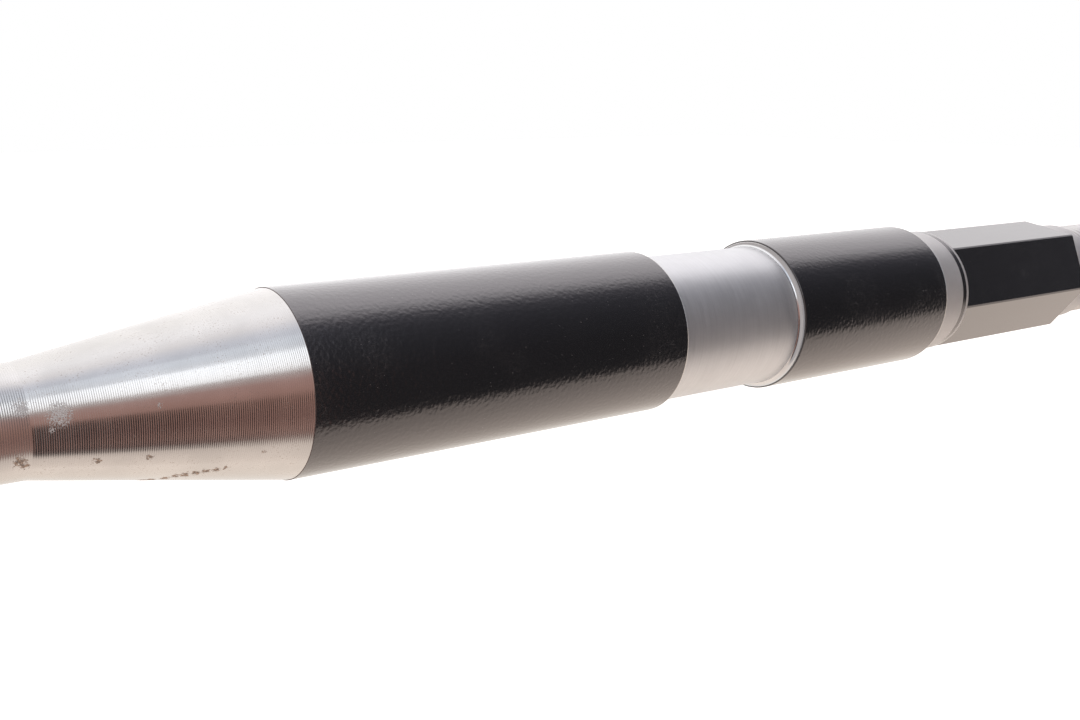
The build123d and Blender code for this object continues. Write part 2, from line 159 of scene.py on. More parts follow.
class Shader:
    """A node tree, of a material or a world, built by method calls."""

    def __init__(self, tree):
        self.tree = tree

    def node(self, kind, values=None, output=0, stops=None, **settings):
        made = self.tree.nodes.new(kind)
        for name, setting in settings.items():
            setattr(made, name, setting)
        if stops:
            self.set_stops(made.color_ramp, stops)
        for name, value in (values or {}).items():
            self.feed(made.inputs[name], value)
        return Socket(self, made.outputs[output])

    def feed(self, entry, value):
        if isinstance(value, Socket):
            self.tree.links.new(value.output, entry)
        else:
            entry.default_value = value

    def set_stops(self, ramp, stops):
        while len(ramp.elements) < len(stops):
            ramp.elements.new(1.0)
        for element, (place, colour) in zip(ramp.elements, stops):
            element.position = place
            element.color = (*colour, 1.0)

    def place(self):
        return self.node("ShaderNodeTexCoord", output="Object")

    def stretched(self, scale, turn=(0.0, 0.0, 0.0)):
        """Object coordinates in units of a pattern's own size along each axis."""
        values = {"Vector": self.place(), "Scale": scale, "Rotation": turn}
        return self.node("ShaderNodeMapping", values)

    def noise(self, size, detail=2.0, roughness=0.5, vector=None):
        values = {
            "Vector": vector or self.place(),
            "Scale": 1.0 / size,
            "Detail": detail,
            "Roughness": roughness,
        }
        return self.node("ShaderNodeTexNoise", values)

    def axes(self, vector=None):
        """The three parts of a vector."""
        made = self.tree.nodes.new("ShaderNodeSeparateXYZ")
        self.feed(made.inputs[0], vector or self.place())
        return tuple(Socket(self, output) for output in made.outputs)

    def blend(self, factor, first, second):
        """A colour between two colours."""
        made = self.tree.nodes.new("ShaderNodeMix")
        made.data_type = "RGBA"
        entries = [entry for entry in made.inputs if entry.type == "RGBA"]
        self.feed(made.inputs[0], factor)
        self.feed(entries[0], first)
        self.feed(entries[1], second)
        outputs = [output for output in made.outputs if output.type == "RGBA"]
        return Socket(self, outputs[0])

    def bump(self, height, depth):
        return self.node("ShaderNodeBump", {"Height": height, "Distance": depth, "Strength": 1.0})


def opaque(colour):
    return (*colour, 1.0)


def new_material(name, colour, rough, metal=0.0, specular=0.5, coat=0.0, ior=1.5):
    """A principled material and the shader that builds its nodes."""
    material = bpy.data.materials.new(name)
    material.use_nodes = True
    shader = Shader(material.node_tree)
    surface = material.node_tree.nodes["Principled BSDF"]
    surface.inputs["Base Color"].default_value = opaque(colour)
    surface.inputs["Roughness"].default_value = rough
    surface.inputs["Metallic"].default_value = metal
    surface.inputs["Specular IOR Level"].default_value = specular
    surface.inputs["IOR"].default_value = ior
    surface.inputs["Coat Weight"].default_value = coat
    return material, shader, surface.inputs


# Finishes


STEEL = (0.70, 0.69, 0.68)
RUST = (0.15, 0.085, 0.042)
SCUFFED_STEEL = (0.78, 0.77, 0.76)
BLACK_PAINT = (0.0045, 0.0045, 0.005)
SCRATCHED_PAINT = (0.20, 0.19, 0.19)
DULL_PAINT = (0.20, 0.19, 0.18)
DUST = (0.40, 0.38, 0.36)
POLISHED_ROUGHNESS = 0.14


def tinted(colour, factor):
    return opaque(tuple(min(part * factor, 1.0) for part in colour))


def lathe_rings(shader, pitch):
    """Height of the tool's rings across the rod's axis, 0 to 1: round valleys and sharp crests."""
    along, _across, _up = shader.axes()
    wander = shader.noise(4.0 * MM, detail=2.0)
    round_the_rod = shader.stretched((1.0 / (1.6 * pitch), 60.0, 60.0))
    uneven = shader.noise(1.0, detail=3.0, vector=round_the_rod)
    rings = 1.0 - (along * (math.pi / pitch) + wander * 0.8).sine().absolute()
    return rings * (0.6 + 0.4 * uneven)


def marks_at(shader, marks, grain):
    """1 on a few speckled, ragged marks, each a centre and its radius, and 0 elsewhere."""
    place = shader.place()
    nearness = None
    for centre, radius in marks:
        ends = {0: place, 1: centre}
        distance = shader.node("ShaderNodeVectorMath", ends, output=1, operation="DISTANCE")
        near = 1.0 - distance / radius
        nearness = near if nearness is None else nearness.most(near)
    return (nearness * 0.8 + (grain - 0.5) * 3.4).ramp_up(0.34, 0.60) * nearness.ramp_up(0.0, 0.3)


def turned_steel(name, ring_pitch, ring_depth, rough, scuffs=(), rust=()):
    """Bare steel with lathe rings across the rod's axis, and its scuffs and rust marks."""
    material, shader, entries = new_material(name, STEEL, rough, metal=1.0)
    rings = lathe_rings(shader, ring_pitch)
    pores = shader.noise(0.3 * MM, detail=3.0, roughness=0.6)
    height = rings + pores * 0.2
    cloudy = shader.noise(5.0 * MM, detail=5.0, roughness=0.6)
    colour = shader.blend(cloudy.ramp_up(0.3, 0.7), tinted(STEEL, 0.94), tinted(STEEL, 1.05))
    roughness = rough + (cloudy - 0.5) * 0.1
    dirty = shader.noise(2.5 * MM, detail=3.0).ramp_up(0.40, 0.62)
    specks = shader.noise(0.2 * MM, detail=3.0, roughness=0.7).ramp_up(0.58, 0.68)
    colour = shader.blend(specks * dirty * 0.45, colour, tinted(RUST, 1.6))
    dulled = specks * dirty * 0.2
    if scuffs:
        scuffed = marks_at(shader, scuffs, shader.noise(0.15 * MM, detail=3.0, roughness=0.7))
        colour = shader.blend(scuffed * 0.6, colour, opaque(SCUFFED_STEEL))
        height = height + scuffed * 0.8
        dulled = dulled.most(scuffed * 0.55)
    if rust:
        grain = shader.noise(0.36 * MM, detail=4.0, roughness=0.65)
        rusted = marks_at(shader, rust, grain * 0.55 + 0.225)
        shade = shader.noise(0.25 * MM, detail=3.0).ramp_up(0.35, 0.65)
        brown = shader.blend(shade, tinted(RUST, 1.3), tinted(RUST, 3.6))
        colour = shader.blend(rusted * 0.75, colour, brown)
        height = height + rusted * 1.5
        dulled = dulled.most(rusted * 0.85)
    shader.feed(entries["Base Color"], colour)
    shader.feed(entries["Metallic"], 1.0 - dulled)
    shader.feed(entries["Roughness"], roughness + dulled * 0.5)
    shader.feed(entries["Normal"], shader.bump(height, ring_depth))
    return material


def satin_steel(name, rough, metal=1.0, colour=STEEL, polished=None):
    """Bare steel with fine rings and faint slanted marks, polished past the given stations."""
    material, shader, entries = new_material(name, colour, rough, metal=metal)
    round_the_rod = shader.stretched((1.0 / (0.12 * MM), 30.0, 30.0))
    rings = shader.noise(1.0, detail=4.0, vector=round_the_rod)
    slanted = shader.stretched((1.0 / (0.35 * MM), 160.0, 160.0), turn=(0.0, 0.25, 0.5))
    marks = shader.noise(1.0, detail=3.0, vector=slanted)
    height = rings * 0.6 + marks * 0.7
    shader.feed(entries["Normal"], shader.bump(height, 2.5e-6))
    cloudy = shader.noise(4.0 * MM, detail=5.0, roughness=0.65)
    tone = cloudy * 0.4 + rings * 0.3 + marks * 0.3
    shade = shader.blend(tone.ramp_up(0.3, 0.7), tinted(colour, 0.93), tinted(colour, 1.06))
    shader.feed(entries["Base Color"], shade)
    dull = 1.0
    if polished:
        along, _across, _up = shader.axes()
        dull = 1.0 - along.ramp_up(*polished)
        shader.feed(entries["Metallic"], 1.0 - (1.0 - metal) * dull)
    extra = (rough - POLISHED_ROUGHNESS) * dull + (marks - 0.5) * 0.16
    shader.feed(entries["Roughness"], POLISHED_ROUGHNESS + extra)
    return material


def matt_steel(name, colour, rough, metal=1.0, mottle=1.0):
    """Dull bare steel, with a fine even grain."""
    material, shader, entries = new_material(name, colour, rough, metal=metal)
    fine = shader.noise(0.25 * MM, detail=4.0, roughness=0.6)
    cloudy = shader.noise(3.0 * MM, detail=4.0)
    tone = (fine * 0.4 + cloudy * 0.6).ramp_up(0.35, 0.65)
    dark, light = tinted(colour, 1.0 - 0.2 * mottle), tinted(colour, 1.0 + 0.12 * mottle)
    shader.feed(entries["Base Color"], shader.blend(tone, dark, light))
    shader.feed(entries["Roughness"], rough + (cloudy - 0.5) * 0.2 * mottle)
    shader.feed(entries["Normal"], shader.bump(fine, 6.0e-6))
    return material


def black_paint(name, grain=0.5 * MM, depth=4.2e-5, forged=0.0, tone=1.0, rubbed=()):
    """Satin black paint with orange peel, dust, hair scratches and dull patches.

    Each rubbed end is its station along the rod and how far the wear reaches from it.
    """
    material, shader, entries = new_material(name, (0.005, 0.005, 0.006), 0.2, ior=2.0, coat=0.8)
    entries["Coat Roughness"].default_value = 0.12
    entries["Specular Tint"].default_value = opaque((1.0, 0.96, 0.99))
    height = shader.noise(grain, detail=1.0, roughness=0.35)
    if forged:
        height = height + shader.noise(1.8 * MM, detail=3.0) * forged
    one_way = shader.stretched((240.0, 2400.0, 1500.0), turn=(0.5, 0.4, 0.9))
    hairs = shader.noise(1.0, detail=1.0, vector=one_way)
    other_way = shader.stretched((1700.0, 220.0, 420.0), turn=(0.2, 0.7, 0.3))
    other = shader.noise(1.0, detail=1.0, vector=other_way)
    worn = shader.noise(8.0 * MM, detail=2.0).ramp_up(0.55, 0.70)
    along, _across, _up = shader.axes()
    for station, reach in rubbed:
        worn = worn.most(1.0 - (along - station).absolute().ramp_up(0.3 * reach, reach))
    first = 1.0 - (hairs - 0.5).absolute().ramp_up(0.0, 0.008)
    second = 1.0 - (other - 0.5).absolute().ramp_up(0.0, 0.006)
    scratches = first.most(second) * worn
    dust = shader.noise(0.16 * MM, detail=0.0).ramp_up(0.86, 0.88)
    dull = shader.noise(0.4 * MM, detail=5.0, roughness=0.8).ramp_up(0.42, 0.66) * worn
    cloudy = shader.noise(6.0 * MM, detail=4.0, roughness=0.6)
    dark, light = tinted(BLACK_PAINT, 0.7 * tone), tinted(BLACK_PAINT, 1.3 * tone)
    colour = shader.blend(cloudy, dark, light)
    colour = shader.blend(scratches * 0.13, colour, opaque(SCRATCHED_PAINT))
    colour = shader.blend(dull * 0.035, colour, opaque(DULL_PAINT))
    colour = shader.blend(dust * 0.6, colour, opaque(DUST))
    shader.feed(entries["Base Color"], colour)
    wear = scratches * 0.08 + dull * 0.07 + dust * 0.3
    shader.feed(entries["Roughness"], 0.13 + cloudy * 0.07 + wear)
    shader.feed(entries["Normal"], shader.bump(height, depth))
    return material


def zinc_plate(name):
    """Zinc plating: pale, faintly mottled."""
    material, shader, entries = new_material(name, (0.66, 0.66, 0.65), 0.32, metal=1.0)
    mottle = shader.noise(1.2 * MM, detail=5.0, roughness=0.65)
    tint = shader.noise(6.0 * MM, detail=2.0)
    cool = shader.blend(mottle, opaque((0.56, 0.57, 0.60)), opaque((0.74, 0.74, 0.74)))
    colour = shader.blend(tint.ramp_up(0.45, 0.75), cool, opaque((0.72, 0.70, 0.62)))
    shader.feed(entries["Base Color"], colour)
    shader.feed(entries["Roughness"], 0.26 + mottle * 0.16)
    fine = shader.noise(0.3 * MM, detail=3.0)
    shader.feed(entries["Normal"], shader.bump(fine, 5.0e-6))
    return material


def moulded_rubber(name):
    """Black rubber with a fine moulded grain and a little bloom."""
    material, shader, entries = new_material(name, (0.018, 0.018, 0.018), 0.6, specular=0.4)
    grain = shader.noise(0.25 * MM, detail=4.0, roughness=0.6)
    bloom = shader.noise(5.0 * MM, detail=5.0, roughness=0.65)
    black, grey = opaque((0.014, 0.014, 0.014)), opaque((0.04, 0.039, 0.038))
    colour = shader.blend(bloom.ramp_up(0.4, 0.75), black, grey)
    shader.feed(entries["Base Color"], colour)
    shader.feed(entries["Roughness"], 0.5 + bloom * 0.22)
    shader.feed(entries["Normal"], shader.bump(grain, 1.2e-5))
    return material


def acetal(name):
    """Natural white bearing plastic, with smears of grease."""
    material, shader, entries = new_material(name, (0.78, 0.76, 0.70), 0.4)
    smear = shader.noise(3.0 * MM, detail=4.0)
    clean, greasy = opaque((0.80, 0.78, 0.72)), opaque((0.62, 0.58, 0.48))
    colour = shader.blend(smear.ramp_up(0.45, 0.7), clean, greasy)
    shader.feed(entries["Base Color"], colour)
    shader.feed(entries["Roughness"], 0.42 - smear * 0.16)
    shader.feed(entries["Normal"], shader.bump(shader.noise(0.5 * MM), 4.0e-6))
    return material


# Marks on the cone, as (place, radius) in millimetres from the barrel's left end
scuff_marks = (
    ((-24.9, -6.23, 1.56), 1.6),
    ((-28.2, -5.42, 2.56), 1.1),
    ((-25.7, -6.27, 0.20), 0.4),
    ((-15.6, -7.7, 1.4), 0.5),
)
rust_marks = (
    ((-28.7, -5.34, -2.71), 1.2),
    ((-28.2, -5.0, -3.3), 0.9),
    ((-21.6, -5.97, -3.72), 0.75),
    ((-16.6, -6.84, -3.99), 0.7),
    ((-16.3, -2.60, -7.60), 0.9),
    ((-15.5, -3.00, -7.60), 1.2),
    ((-14.3, -3.90, -7.40), 1.1),
    ((-13.4, -4.60, -7.15), 1.0),
    ((-12.5, -5.00, -7.05), 1.1),
    ((-11.5, -5.45, -6.95), 1.0),
    ((-10.5, -5.85, -6.85), 0.9),
    ((-9.5, -6.25, -6.75), 0.8),
    ((-8.6, -6.60, -6.60), 0.6),
    ((-5.1, -8.61, -4.94), 0.45),
)


def from_barrel(marks):
    return [((x * MM + BARREL_X, y * MM, z * MM), radius * MM) for (x, y, z), radius in marks]


groove_look = {
    "metal": 0.86,
    "colour": (0.765, 0.775, 0.79),
    "polished": (LAND_X - 0.9 * MM, LAND_X - 0.4 * MM),
}
paint_ends = (
    (BARREL_X, 2.6 * MM),
    (GROOVE_X - 4.0 * MM, 5.0 * MM),
    (COLLAR_X - 1.0 * MM, 2.0 * MM),
)
cone_marks = {"scuffs": from_barrel(scuff_marks), "rust": from_barrel(rust_marks)}
finishes = {
    "ball": satin_steel("ground_ball_steel", rough=0.16),
    "shank": turned_steel("turned_shank_steel", 0.23 * MM, 6.5e-6, rough=0.2, **cone_marks),
    "cone": turned_steel("turned_cone_steel", 0.219 * MM, 7.5e-6, rough=0.17, **cone_marks),
    "paint": black_paint("satin_black_paint", rubbed=paint_ends),
    "hexagon_paint": black_paint("thin_hexagon_paint", depth=1.6e-5, tone=2.5),
    "paint_edge": matt_steel("brown_paint_edge", (0.10, 0.05, 0.045), 0.5),
    "edge": satin_steel("bare_cut_edge", rough=0.2),
    "groove": satin_steel("satin_groove_steel", rough=0.40, **groove_look),
    "collar": matt_steel("matt_collar_steel", (0.70, 0.69, 0.685), 0.52, metal=0.74, mottle=0.25),
    "thread": turned_steel("rolled_thread_steel", 0.5 * MM, 2.0e-6, rough=0.3),
    "forging_paint": black_paint("black_forging_paint", grain=0.6 * MM, depth=4.0e-5, forged=1.6),
    "housing": turned_steel("turned_housing_steel", 0.3 * MM, 5.0e-6, rough=0.26),
    "zinc": zinc_plate("zinc_plate"),
    "spring": matt_steel("tempered_spring_steel", (0.34, 0.34, 0.36), 0.35),
    "stud": satin_steel("ground_stud_steel", rough=0.22),
    "plastic": acetal("natural_acetal"),
    "rubber": moulded_rubber("moulded_black_rubber"),
}


# Turned shapes

SHARP_ANGLE = math.radians(23.0)
ROUNDING_STEPS = 5
BALL_STEPS = 40
BALL_POLE_R = 4.0 * MM
ON_AXIS = 1e-7


def rounded(points):
    """Profile points with their corners rounded. A point is (along, radius, rounding, finish)."""
    result = []
    last = len(points) - 1
    for index, (along, radius, rounding, finish) in enumerate(points):
        here = Vector((along, radius))
        if rounding == 0.0 or index in (0, last):
            result.append((along, radius, finish))
            continue
        before = Vector(points[index - 1][:2]) - here
        after = Vector(points[index + 1][:2]) - here
        turn = math.pi - before.angle(after)
        reach = rounding * math.tan(turn / 2.0)
        arrive = here + before.normalized() * reach
        leave = here + after.normalized() * reach
        towards_centre = (before.normalized() + after.normalized()).normalized()
        centre = here + towards_centre * (rounding / math.cos(turn / 2.0))
        before_finish = points[index - 1][3]
        spare = min(0.4 * reach, (before.length - reach) / 4)
        result.append((*(arrive + before.normalized() * spare), before_finish))
        for step in range(ROUNDING_STEPS + 1):
            share = step / ROUNDING_STEPS
            mixed = arrive.lerp(leave, share) - centre
            on_arc = centre + mixed.normalized() * rounding
            chosen = before_finish if share < 0.5 else finish
            result.append((*on_arc, chosen))
        spare = min(0.4 * reach, (after.length - reach) / 4)
        result.append((*(leave + after.normalized() * spare), finish))
    return result


def arc(centre_x, radius, start, end, finish, count=28):
    """Profile points along a circle about the axis, angles in degrees from +X."""
    points = []
    for step in range(count + 1):
        turn = math.radians(start + (end - start) * step / count)
        points.append((centre_x + radius * math.cos(turn), radius * math.sin(turn), 0.0, finish))
    return points


def straight(start_x, end_x, radius, spacing, finish):
    """Evenly spaced profile points along a straight stretch, both ends included."""
    count = max(1, math.ceil((end_x - start_x) / spacing))
    width = (end_x - start_x) / count
    return [(start_x + width * step, radius, 0.0, finish) for step in range(count + 1)]


def even_angles(count):
    return [FULL_TURN * step / count for step in range(count)]


def turned_piece(name, profile, angles, finish_names, reshape=None, loop=False):
    """A mesh made by turning a profile about X, each stretch in its own finish."""
    vertices = []
    rings = []
    for along, radius, _finish in profile:
        if radius < ON_AXIS:
            rings.append([len(vertices)])
            vertices.append((along, 0.0, 0.0))
            continue
        rings.append(list(range(len(vertices), len(vertices) + len(angles))))
        for angle in angles:
            reach = reshape(along, radius, angle) if reshape else radius
            vertices.append((along, reach * math.cos(angle), reach * math.sin(angle)))
    faces = []
    slots = []
    pairs = list(zip(rings, rings[1:]))
    if loop:
        pairs.append((rings[-1], rings[0]))
    for (first, second), (_along, _radius, finish) in zip(pairs, profile):
        for step in range(len(angles)):
            following = (step + 1) % len(angles)
            if len(first) == 1 and len(second) == 1:
                continue
            if len(first) == 1:
                faces.append((first[0], second[step], second[following]))
            elif len(second) == 1:
                faces.append((first[step], second[0], first[following]))
            else:
                faces.append((first[step], second[step], second[following], first[following]))
            slots.append(finish_names.index(finish))
    mesh = bpy.data.meshes.new(name)
    mesh.from_pydata(vertices, [], faces)
    for finish in finish_names:
        mesh.materials.append(finishes[finish])
    mesh.polygons.foreach_set("material_index", slots)
    face_outwards(mesh)
    mesh.shade_smooth()
    mesh.set_sharp_from_angle(angle=SHARP_ANGLE)
    piece = bpy.data.objects.new(name, mesh)
    bpy.context.scene.collection.objects.link(piece)
    return piece


def face_outwards(mesh):
    shell = bmesh.new()
    shell.from_mesh(mesh)
    bmesh.ops.recalc_face_normals(shell, faces=shell.faces)
    shell.to_mesh(mesh)
    shell.free()


# Screw threads, with a section whose crests and roots are rounded flats

THREAD_DEPTH_PER_PITCH = 0.61
THREAD_CREST = 0.14
THREAD_ROOT = 0.86
THREAD_ROUNDING = 0.12
THREAD_SKIN = 0.8


def thread_tree():
    """Geometry Nodes that press a screw thread into a round stretch along X."""
    tree = bpy.data.node_groups.new("press_thread", "GeometryNodeTree")
    tree.interface.new_socket("Geometry", in_out="INPUT", socket_type="NodeSocketGeometry")
    for label in ("Start", "End", "Pitch", "Depth", "Radius"):
        tree.interface.new_socket(label, in_out="INPUT", socket_type="NodeSocketFloat")
    tree.interface.new_socket("Finish", in_out="INPUT", socket_type="NodeSocketMaterial")
    tree.interface.new_socket("Geometry", in_out="OUTPUT", socket_type="NodeSocketGeometry")
    shader = Shader(tree)
    source = tree.nodes.new("NodeGroupInput")
    given = {output.name: Socket(shader, output) for output in source.outputs if output.name}
    place = shader.node("GeometryNodeInputPosition")
    along, across, up = shader.axes(place)
    radius = (across * across + up * up).power(0.5)
    angle = up.maths("ARCTAN2", across)
    phase = (along / given["Pitch"] - angle / FULL_TURN).maths("FRACT")
    groove = 1.0 - (phase * 2.0 - 1.0).absolute()
    flat_root = groove.maths("SMOOTH_MIN", THREAD_ROOT, THREAD_ROUNDING)
    cut = flat_root.maths("SMOOTH_MAX", THREAD_CREST, THREAD_ROUNDING) - THREAD_CREST
    enter = (along - given["Start"]) / given["Pitch"]
    leave = (given["End"] - along) / given["Pitch"]
    inside = enter.least(leave).least(1.0).most(0.0)
    skin = radius > given["Radius"] * THREAD_SKIN
    fraction = 1.0 - given["Depth"] * cut * inside * skin / radius.most(0.1 * MM)
    parts = {"X": along, "Y": across * fraction, "Z": up * fraction}
    moved = shader.node("ShaderNodeCombineXYZ", parts)
    values = {"Geometry": given["Geometry"], "Position": moved}
    shaped = shader.node("GeometryNodeSetPosition", values)
    real = shader.node("GeometryNodeRealizeInstances", {"Geometry": shaped})
    threaded = inside > 0.01
    values = {"Geometry": real, "Selection": threaded, "Material": given["Finish"]}
    dressed = shader.node("GeometryNodeSetMaterial", values)
    sink = tree.nodes.new("NodeGroupOutput")
    shader.feed(sink.inputs["Geometry"], dressed)
    return tree


press_thread = thread_tree()


def cut_thread(piece, start, end, pitch, radius, finish):
    """Presses a thread into the piece and keeps the result as its plain mesh."""
    modifier = piece.modifiers.new("thread", "NODES")
    modifier.node_group = press_thread
    depth = pitch * THREAD_DEPTH_PER_PITCH
    sizes = {"Start": start, "End": end, "Pitch": pitch, "Depth": depth, "Radius": radius}
    sizes["Finish"] = finishes[finish]
    for entry in press_thread.interface.items_tree:
        if entry.in_out == "INPUT" and entry.name in sizes:
            modifier[entry.identifier] = sizes[entry.name]
    keep_result(piece)


def keep_result(piece):
    """Replaces a piece's mesh by what its modifiers make of it."""
    evaluated = piece.evaluated_get(bpy.context.evaluated_depsgraph_get())
    mesh = bpy.data.meshes.new_from_object(evaluated)
    piece.modifiers.clear()
    piece.data = mesh
    mesh.shade_smooth()


# The rod

ROUND_STEPS = (0.0, 0.5, 1.0, 1.3, 2.0, 4.0, 7.0, 11.0, 15.5, 20.0, 25.0, 30.0)


def hexagon_angles():
    """Angles round the rod, close together at the hexagon's six corners."""
    angles = []
    for corner in range(6):
        middle = HEXAGON_ROLL + corner * FULL_TURN / 6
        for step in ROUND_STEPS:
            angles.append(middle + math.radians(step))
        for step in ROUND_STEPS[1:-1]:
            angles.append(middle - math.radians(step))
    return sorted(angle % FULL_TURN for angle in angles)


SHOULDER_RUN = 0.15 * MM
SHOULDER_SHARES = (0.0, 0.25, 0.5, 0.75, 1.0, 1.5, 4.0)
COLLAR_BARE_LENGTH = 5.7 * MM
HEXAGON_BARE_LINE = 0.5 * MM
PAINT_LIP = 0.02 * MM
BARREL_EDGE = 0.32 * MM
LAND_EDGE = 0.36 * MM
LAND_BAND = 0.22 * MM
GROOVE_FILLET = 0.66 * MM


def hexagon_cut(along, radius, angle):
    """The rod's radius at one angle, with six flats milled over the hexagon's length."""
    if along < HEXAGON_X:
        return radius
    off_normal = (angle - HEXAGON_ROLL - FULL_TURN / 12) % (FULL_TURN / 6)
    off_normal = min(off_normal, FULL_TURN / 6 - off_normal)
    flat = min(HEXAGON_FLATS / 2 / math.cos(off_normal), HEXAGON_CORNER_R)
    depth = min(1.0, (along - HEXAGON_X) / SHOULDER_RUN)
    return min(radius, COLLAR_R + (flat - COLLAR_R) * depth)


def make_rod():
    neck = math.degrees(math.asin(SHANK_R / INNER_BALL_R))
    pole = math.degrees(math.asin(BALL_POLE_R / INNER_BALL_R))
    points = [(INNER_BALL_X - INNER_BALL_R * math.cos(math.radians(pole)), 0.0, 0.0, "ball")]
    points += arc(INNER_BALL_X, INNER_BALL_R, 180 - pole, neck + 6, "ball", count=BALL_STEPS)
    points += [
        (INNER_BALL_X + INNER_BALL_R * math.cos(math.radians(neck)), SHANK_R, 1.5 * MM, "shank"),
        (BARREL_X - CONE_LENGTH, SHANK_R, 2.0 * MM, "cone"),
        (BARREL_X, CONE_END_R, PAINT_LIP, "paint_edge"),
        (BARREL_X + PAINT_LIP, BARREL_R, 2 * PAINT_LIP, "paint"),
        (GROOVE_X - BARREL_EDGE, BARREL_R, 0.0, "edge"),
        (GROOVE_X, BARREL_R, 0.28 * MM, "edge"),
        (GROOVE_X, GROOVE_R, 0.15 * MM, "groove"),
        (LAND_X, GROOVE_R, GROOVE_FILLET, "groove"),
        (LAND_X, BARREL_R - LAND_BAND, 0.0, "paint"),
        (LAND_X, BARREL_R, 0.15 * MM, "paint"),
        (COLLAR_X - LAND_EDGE, BARREL_R, 0.0, "edge"),
        (COLLAR_X, BARREL_R, 0.32 * MM, "edge"),
        (COLLAR_X, COLLAR_R, 0.10 * MM, "collar"),
        (COLLAR_X + COLLAR_BARE_LENGTH, COLLAR_R, 0.0, "hexagon_paint"),
        (HEXAGON_X - HEXAGON_BARE_LINE, COLLAR_R, 0.0, "collar"),
        (HEXAGON_X - 0.05 * MM, COLLAR_R, 0.0, "collar"),
    ]
    for share in SHOULDER_SHARES:
        points.append((HEXAGON_X + share * SHOULDER_RUN, COLLAR_R, 0.0, "hexagon_paint"))
    points += [
        (RELIEF_X - 0.3 * MM, COLLAR_R, 0.0, "hexagon_paint"),
        (RELIEF_X, COLLAR_R, 0.15 * MM, "collar"),
        (RELIEF_X + 0.7 * MM, RELIEF_R, 0.2 * MM, "collar"),
        (THREAD_X - RELIEF_R + ROD_THREAD_R, RELIEF_R, 0.1 * MM, "collar"),
    ]
    points += straight(THREAD_X, ROD_END_X - 1.0 * MM, ROD_THREAD_R, ROD_PITCH / 7, "thread")
    points += [
        (ROD_END_X - 0.5 * MM, ROD_THREAD_R - 0.5 * MM, 0.0, "thread"),
        (ROD_END_X, ROD_THREAD_R - 1.0 * MM, 0.1 * MM, "thread"),
        (ROD_END_X, 0.0, 0.0, "thread"),
    ]
    used = ["ball", "shank", "cone", "paint_edge", "paint", "edge", "groove", "collar"]
    used += ["hexagon_paint", "thread"]
    piece = turned_piece("tie_rod_bar", rounded(points), hexagon_angles(), used, hexagon_cut)
    cut_thread(piece, THREAD_X, ROD_END_X + ROD_PITCH, ROD_PITCH, ROD_THREAD_R, "thread")
    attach(piece, "rod_bar")
    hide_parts("rod")


make_rod()


# Inner housing

INNER_POCKET_R = 16.16 * MM
INNER_HOUSING_R = 20.06 * MM
INNER_HOUSING_STEPS = 144
INNER_SHOULDER_R = 17.0 * MM
INNER_SHOULDER_CHAMFER = 3.0 * MM
CHAMFER_SHARES = (0.2, 0.4, 0.6, 0.8)
INNER_MOUTH_ANGLE = 54.3
INNER_FLATS = 36.0 * MM
INNER_FLAT_LENGTH = 12.0 * MM
SPRING_POCKET_R = 8.3 * MM
SPRING_FLOOR_X = 4.57 * MM
RACK_THREAD_R = 9.0 * MM
RACK_THREAD_LENGTH = 18.0 * MM
RACK_PITCH = 1.5 * MM


def spanner_flats(along, radius, angle):
    """The inner housing's radius at one angle, with two flats for the spanner."""
    if radius < INNER_SHOULDER_R or not 0.0 <= along <= INNER_FLAT_LENGTH:
        return radius
    return min(radius, INNER_FLATS / 2 / max(abs(math.sin(angle)), 0.5))


def polar(centre_x, radius, degrees, rounding, finish):
    turn = math.radians(degrees)
    return (centre_x + radius * math.cos(turn), radius * math.sin(turn), rounding, finish)


